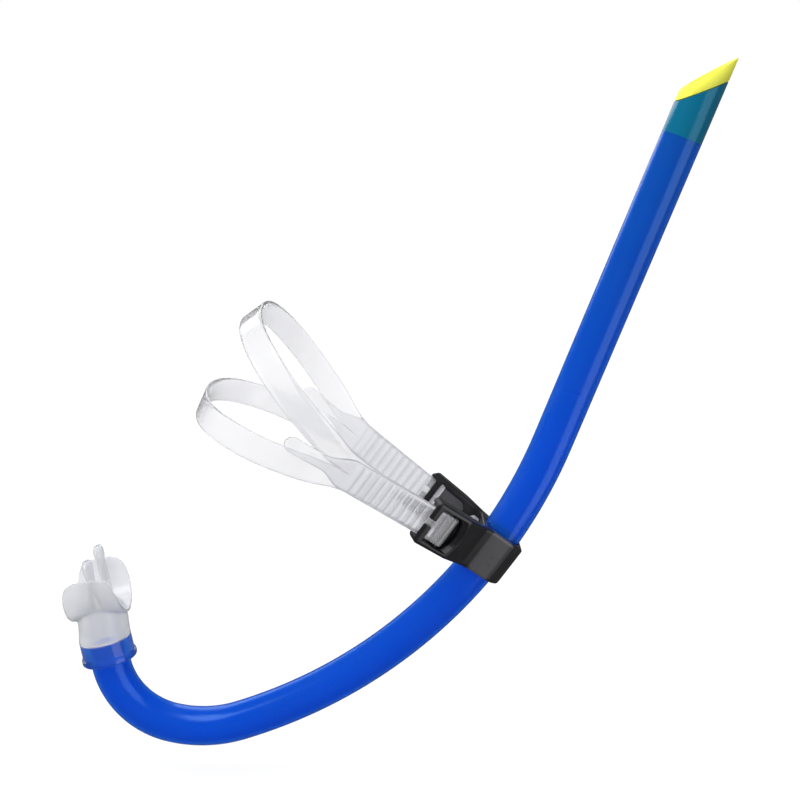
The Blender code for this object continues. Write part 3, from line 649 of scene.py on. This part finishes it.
def make_lug(side):
    """A bite lug on one side, from inside the shield to its own rounded, thicker end."""
    end, axis, cross = mouth_frame()
    stations = ((0.0, 0.85), (LUG_TOP - 0.0080, 0.85), (LUG_TOP - 0.0050, 1.0), (LUG_TOP - 0.0018, 1.0),
                (LUG_TOP, 0.72))
    rings = []
    for height, size in stations:
        centre = end + axis * height + cross * LUG_SHIFT + SIDE * (side * LUG_OFFSET)
        rings.append(ellipse_ring(centre, cross, SIDE, LUG_HALF_THICKNESS * size, LUG_HALF_WIDTH * size, 24))
    rings[0] = to_shield(rings[0])
    return outward(loft("lug", rings, None))


def make_mouthpiece(finish):
    """Sleeve, bead, neck, lip shield and bite lugs, melted into one soft moulding and then bored."""
    bead_top = BEAD_HEIGHT - SLEEVE_OVERLAP
    body = outward(loft("sleeve", [
        mouth_ring(-SLEEVE_OVERLAP, SLEEVE_RADIUS, SLEEVE_RADIUS),
        mouth_ring(-SLEEVE_OVERLAP + BEAD_CHAMFER, BEAD_RADIUS, BEAD_RADIUS),
        mouth_ring(bead_top - BEAD_CHAMFER, BEAD_RADIUS, BEAD_RADIUS),
        mouth_ring(bead_top, SLEEVE_RADIUS, SLEEVE_RADIUS),
        mouth_ring(0.0020, SLEEVE_RADIUS, SLEEVE_RADIUS),
        mouth_ring(0.0060, 0.0136, 0.0138, 0.4 * SHIELD_OFFSET),
        mouth_ring(0.0105, 0.0134, 0.0142, 0.8 * SHIELD_OFFSET),
        to_shield(mouth_ring(0.0, 0.0132, 0.0142, SHIELD_OFFSET)),
    ], None))
    moulding = joined("clear_mouthpiece", [body, make_shield(), make_lug(-1), make_lug(1)], finish)
    melt(moulding, *MOUTHPIECE_MELT)
    socket = TUBE_RADIUS - 0.0001
    bore = outward(loft("bore", [
        mouth_ring(-SLEEVE_OVERLAP - 0.0020, socket, socket),
        mouth_ring(0.0002, socket, socket),
        mouth_ring(0.0006, AIRWAY_RADIUS + 0.0004, AIRWAY_RADIUS + 0.0004),
        mouth_ring(0.0012, AIRWAY_RADIUS, AIRWAY_RADIUS),
        mouth_ring(0.0085, 0.0080, 0.0090, 0.5 * SHIELD_OFFSET),
        mouth_ring(SHIELD_HEIGHT + 0.0080, 0.0070, 0.0078, SHIELD_OFFSET),
    ], None))
    boolean(moulding, bore, "DIFFERENCE")
    repainted(moulding, finish)
    moulding.data.set_sharp_from_angle(angle=math.radians(50.0))
    end, axis, _ = mouth_frame()
    sleeve = moulding.data.attributes.new("sleeve", "FLOAT", "POINT")
    for vertex, mark in zip(moulding.data.vertices, sleeve.data):
        mark.value = clamped(1.0 - (vertex.co - end).dot(axis) / SLEEVE_FADE)
    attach(moulding, "mouthpiece")
    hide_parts("mouthpiece")


# ---- The bracket and its pad ----

def softened_copy(node, name, melting, finish):
    """A node's CAD shape with every edge rounded over, as a moulding has."""
    made = bpy.data.objects.new(name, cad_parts[node].data.copy())
    bpy.context.scene.collection.objects.link(made)
    melt(made, *melting)
    repainted(made, finish)
    return made


def panel_mark(place):
    """How much painted grey a point has, 0 to 1: a painted reflection on the collar's flat sides, and grey in
    the arms' recesses.
    """
    depth, side, rise = place.dot(DEPTH), abs(place.y), abs(place.dot(RISE))
    inside = min(depth - PANEL_DEPTHS[0], PANEL_DEPTHS[1] - depth, PANEL_HALF - rise)
    if side > PANEL_SIDE and inside > 0:
        return min(inside / PANEL_FADE, 1.0)
    slope = math.radians(ARM_ANGLE)
    from_tip = (ARM_TIP[0] - depth, ARM_TIP[1] - side)
    back = from_tip[0] * math.cos(slope) + from_tip[1] * math.sin(slope)
    below = from_tip[1] * math.cos(slope) - from_tip[0] * math.sin(slope)
    sunk = RECESS_BACK[0] < back < RECESS_BACK[1] and RECESS_BELOW[0] < below < RECESS_BELOW[1]
    return RECESS_MARK if sunk and rise < RECESS_HALF else 0.0


def make_bracket(finish):
    bracket = softened_copy("bracket", "black_bracket", BRACKET_MELT, finish)
    # painted reflection in grey on the collar's flat sides, and grey in the arms' recesses
    panel = bracket.data.attributes.new("panel", "FLOAT", "POINT")
    for vertex, mark in zip(bracket.data.vertices, panel.data):
        mark.value = panel_mark(vertex.co - TUBE_AT_BRACKET)
    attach(bracket, "bracket")
    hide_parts("bracket")


def make_pad(finish):
    pad = softened_copy("forehead_pad", "clear_forehead_pad", PAD_MELT, finish)
    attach(pad, "bracket")
    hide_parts("forehead_pad")


# ---- The strap ----

def smooth_through(points, per_span):
    """Points of a Catmull-Rom curve through the given ones."""
    padded = [points[0] * 2 - points[1]] + list(points) + [points[-1] * 2 - points[-2]]
    result = []
    for i in range(1, len(padded) - 2):
        before, start, end, after = padded[i - 1:i + 3]
        for k in range(per_span):
            t = k / per_span
            square = 2 * before - 5 * start + 4 * end - after
            cube = 3 * start - before - 3 * end + after
            result.append(0.5 * (2 * start + (end - before) * t + square * t ** 2 + cube * t ** 3))
    result.append(points[-1])
    return result


def even_steps(points, step):
    """The same path with points this far apart, its ends kept."""
    lengths = [0.0]
    for a, b in zip(points, points[1:]):
        lengths.append(lengths[-1] + (b - a).length)
    count = max(2, round(lengths[-1] / step))
    result, k = [], 0
    for i in range(count + 1):
        want = lengths[-1] * i / count
        while k < len(lengths) - 2 and lengths[k + 1] < want:
            k += 1
        share = (want - lengths[k]) / max(lengths[k + 1] - lengths[k], 1e-9)
        result.append(points[k].lerp(points[k + 1], clamped(share)))
    return result


def on_arm(back, below):
    """(depth, side) of a point this far back from the far arm's end and under its outer face."""
    a = math.radians(ARM_ANGLE)
    out, up = Vector((math.cos(a), math.sin(a))), Vector((-math.sin(a), math.cos(a)))
    return Vector(ARM_TIP) - out * back - up * below


def run_side(depth):
    """How far out the strap's ribbed run is, between the arm and the fork."""
    start = on_arm(0.0, LAYER_INNER)
    return start.y + (depth - start.x) * math.tan(math.radians(ARM_ANGLE - 1.0))


def band_half(length):
    """Half a band's width, or a quarter of the run's before the fork."""
    share = clamped((length - FLARE_START) / (BAND_FULL - FLARE_START))
    return STRAP_HALF / 2 + (BAND_HALF - STRAP_HALF / 2) * eased(share)


def band_place(length, turn):
    """A band's middle at this length, in the middle plane, and the direction across the band."""
    sense = math.copysign(1.0, turn)
    if length <= STRAP_FORK:
        return in_bracket(length, 0.0, sense * band_half(length)), RISE
    arc = BAND_BEND_RADIUS * math.radians(abs(turn))
    past = length - STRAP_FORK
    angle = min(past, arc) / BAND_BEND_RADIUS
    straight = max(past - arc, 0.0)
    depth = STRAP_FORK + BAND_BEND_RADIUS * math.sin(angle) + straight * math.cos(angle)
    rise = band_half(STRAP_FORK) + BAND_BEND_RADIUS * (1 - math.cos(angle)) + straight * math.sin(angle)
    wide = RISE * math.cos(angle) - DEPTH * (sense * math.sin(angle))
    return in_bracket(depth, 0.0, sense * rise), wide


def half_plan(plan):
    """(length, side) of the far half of a band, with the end of the run before it."""
    lead = [Vector((d, run_side(d))) for d in (FLARE_START, 0.0835, STRAP_FORK)]
    return lead + [Vector((STRAP_FORK + length, side)) for length, side in plan]


def outermost_side(length):
    """How far out the strap reaches at this depth, which is what its loose ends lie on."""
    found = run_side(length)
    for plan in (UPPER_BAND_PLAN, LOWER_BAND_PLAN):
        curve = smooth_through(half_plan(plan), 6)
        for a, b in zip(curve, curve[1:]):
            if a.x <= length < b.x:
                found = max(found, a.y + (b.y - a.y) * (length - a.x) / (b.x - a.x))
    return found


def rounded(t):
    """Half thickness at a share of the half width, its edges rounded off."""
    edge = max(abs(t) - EDGE_START, 0.0) / (1.0 - EDGE_START)
    return STRAP_THICKNESS / 2 * (EDGE_THIN + (1.0 - EDGE_THIN) * math.sqrt(max(1.0 - edge * edge, 0.0)))


def strap_row(skin, centre, wide, ahead, half, spread,
              ribs=(0.0, 0.0), marks=(0.0, 0.0), edges=(-1.0, 1.0)):
    """One station from its upper edge down: the skin away from the head, then the one to it. ribs are the
    heights of the ridges on the two skins and marks how strongly they show; edges are where the station lies
    across its own rounded section."""
    points, edge_shade_and_rib_grey = skin
    face = ahead.cross(wide).normalized()
    rows = []
    for sign, rib, mark in ((-1.0, ribs[0], marks[0]), (1.0, ribs[1], marks[1])):
        first = len(points)
        for share in spread:
            across = abs(edges[0] + (edges[1] - edges[0]) * (share + 1) / 2)
            inside = clamped((RIB_REACH[1] - across) / (RIB_REACH[1] - RIB_REACH[0]))
            out = sign * (rounded(across) + rib * inside)
            points.append(centre + wide * (half * share) + face * out)
            # painted shade darkens the rounded edges, and the ridges are painted darker grey
            edge_shade_and_rib_grey.append(max(mark * inside, EDGE_MARK * clamped((across - EDGE_START) / EDGE_FADE)))
        rows.append(list(range(first, len(points))))
    return rows


def join_rows(faces, start, end):
    """The faces between two stations: both skins and both edges."""
    outer, inner = start
    next_outer, next_inner = end
    for j in range(len(outer) - 1):
        faces.append((outer[j], outer[j + 1], next_outer[j + 1], next_outer[j]))
        faces.append((inner[j + 1], inner[j], next_inner[j], next_inner[j + 1]))
    faces.append((inner[0], outer[0], next_outer[0], next_inner[0]))
    faces.append((outer[-1], inner[-1], next_inner[-1], next_outer[-1]))


def close_row(faces, row, last):
    """The faces over the first or the last station."""
    outer, inner = row
    for j in range(len(outer) - 1):
        face = (outer[j], inner[j], inner[j + 1], outer[j + 1])
        faces.append(face[::-1] if last else face)


def rib_share(length):
    """How far up a ridge the skin is at this length along the strap from the first one, 0 to 1."""
    off = abs((length / RIB_PITCH + 0.5) % 1.0 - 0.5) * RIB_PITCH
    return eased(min(max(1.0 - off / RIB_HALF, 0.0) * RIB_FLANK, 1.0))


def loose_half(past):
    """Half the loose end's width this far past the arm's end."""
    blend = clamped((past - TAIL_TAPER[0]) / (TAIL_TAPER[1] - TAIL_TAPER[0]))
    half = STRAP_HALF + (TAIL_TAB_HALF - STRAP_HALF) * eased(blend)
    remaining = TAIL_LENGTH - past
    if remaining < TAIL_TAB_HALF:
        half = max(math.sqrt(max(TAIL_TAB_HALF ** 2 - (TAIL_TAB_HALF - remaining) ** 2, 0.0)), 0.0005)
    return half


def end_path():
    """(depth, side) of the far strap end, from the loose end's tip through the buckle to the fork."""
    lift = LAYER_INNER - LAYER_OUTER
    path = []
    for i in range(40):
        past = TAIL_LENGTH - (TAIL_LENGTH - 0.004) * i / 39
        length = ARM_TIP[0] + past
        rise = lift + 0.0004 * min(past / 0.010, 1.0) + 0.0010 * clamped((past - 0.020) / 0.020)
        path.append(Vector((length, outermost_side(length) + rise)))
    path += [on_arm(-0.0010, LAYER_OUTER), on_arm(0.0035, LAYER_OUTER), on_arm(KEEPER_INNER, LAYER_OUTER)]
    for i in range(13):
        a = math.radians(105 - 210 * i / 12)
        path.append(on_arm(BAR_AT + FOLD_RADIUS * math.cos(a), BAR_DEPTH - FOLD_RADIUS * math.sin(a)))
    path += [on_arm(KEEPER_INNER, LAYER_INNER), on_arm(0.0035, LAYER_INNER), on_arm(-0.0010, LAYER_INNER)]
    depths = (0.046, 0.052, 0.060, 0.068, 0.075, 0.080, 0.085, STRAP_FORK)
    path += [Vector((depth, run_side(depth))) for depth in depths]
    return even_steps(smooth_through(path, 6), END_STEP)


def end_rows(skin, far):
    """The stations of one strap end, in the direction near tip, near fork, far fork, far tip."""
    path = end_path()
    turn_at = min(range(len(path)), key=lambda i: path[i].x)
    to_fork = [0.0] * len(path)
    for i in range(len(path) - 2, -1, -1):
        to_fork[i] = to_fork[i + 1] + (path[i + 1] - path[i]).length
    rows = []
    for i, p in enumerate(path):
        ahead_2d = path[min(i + 1, len(path) - 1)] - path[max(i - 1, 0)]
        ahead = (DEPTH * ahead_2d.x + SIDE * (far * ahead_2d.y)) * -far
        loose = i < turn_at
        half = loose_half(max(p.x - ARM_TIP[0], 0.0)) if loose else 2 * band_half(p.x)
        length = to_fork[i] - (STRAP_FORK - FLARE_START)
        share = rib_share(length) if length > -RIB_HALF else 0.0
        if loose and p.x - ARM_TIP[0] > TAIL_TAPER[0] - 0.004:
            share = 0.0
        height = RIB_HEIGHT * share if p.x > ARM_TIP[0] + 0.001 else 0.0
        ribbed = (0.0, 1.0) if loose else (1.0, 0.0)
        centre = in_bracket(p.x, far * p.y, 0.0)
        rows.append(strap_row(skin, centre, RISE, ahead, half, RUN_ACROSS,
                              ribs=[height * on for on in ribbed],
                              marks=[RIB_MARK * share * on for on in ribbed]))
    return rows if far < 0 else rows[::-1]


def band_rows(skin, turn, plan):
    """The stations of one band round the head, from just past the near fork to just before the far one."""
    half = half_plan(plan)
    mirrored = [Vector((p.x, -p.y)) for p in half[-2::-1]]
    curve = even_steps(smooth_through(half + mirrored, 12), BAND_STEP)
    curve = [p for p in curve if p.x > STRAP_FORK + 0.0006]
    places = [band_place(p.x, turn) for p in curve]
    centres = [place - SIDE * p.y for (place, _), p in zip(places, curve)]
    rows = []
    for i, ((_, wide), p) in enumerate(zip(places, curve)):
        ahead = centres[min(i + 1, len(curve) - 1)] - centres[max(i - 1, 0)]
        opened = min((p.x - STRAP_FORK) / 0.004, 1.0)
        edges = (-1.0 if turn < 0 else -opened, 1.0 if turn > 0 else opened)
        rows.append(strap_row(skin, centres[i], wide, ahead, band_half(p.x), ACROSS, edges=edges))
    return rows


def make_strap(finish):
    """The whole strap as one moulding: both loose ends, folds and ribbed runs, and the two bands."""
    points, edge_shade_and_rib_grey, faces = [], [], []
    skin = (points, edge_shade_and_rib_grey)
    near, far = end_rows(skin, -1), end_rows(skin, 1)
    for rows in (near, far):
        for start, end in zip(rows, rows[1:]):
            join_rows(faces, start, end)
    close_row(faces, near[0], False)
    close_row(faces, far[-1], True)
    for half, turn, plan in ((slice(0, COLUMNS + 1), UPPER_BAND_TURN, UPPER_BAND_PLAN),
                             (slice(COLUMNS, None), LOWER_BAND_TURN, LOWER_BAND_PLAN)):
        rows = [[row[half] for row in near[-1]]] + band_rows(skin, turn, plan)
        rows.append([row[half] for row in far[0]])
        for start, end in zip(rows, rows[1:]):
            join_rows(faces, start, end)
    strap = outward(new_object("clear_strap", points, faces, finish, 60.0))
    # the edge attribute holds the painted shade on the strap's edges and the darker grey of its ridges
    strap.data.attributes.new("edge", "FLOAT", "POINT").data.foreach_set("value", edge_shade_and_rib_grey)
    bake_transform(strap)
    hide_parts("strap_bands", "strap_near_tail", "strap_far_tail", "strap_near_fold", "strap_far_fold")


# ---- The whole object ----

make_camera()
make_lamps()
make_world()
bpy.context.scene.view_settings.view_transform = "Standard"
make_floor()
finishes = make_finishes()
make_tube(finishes["tube"])
make_tip(finishes["tip"])
make_mouthpiece(finishes["mouth"])
make_bracket(finishes["bracket"])
make_pad(finishes["pad"])
make_strap(finishes["strap"])
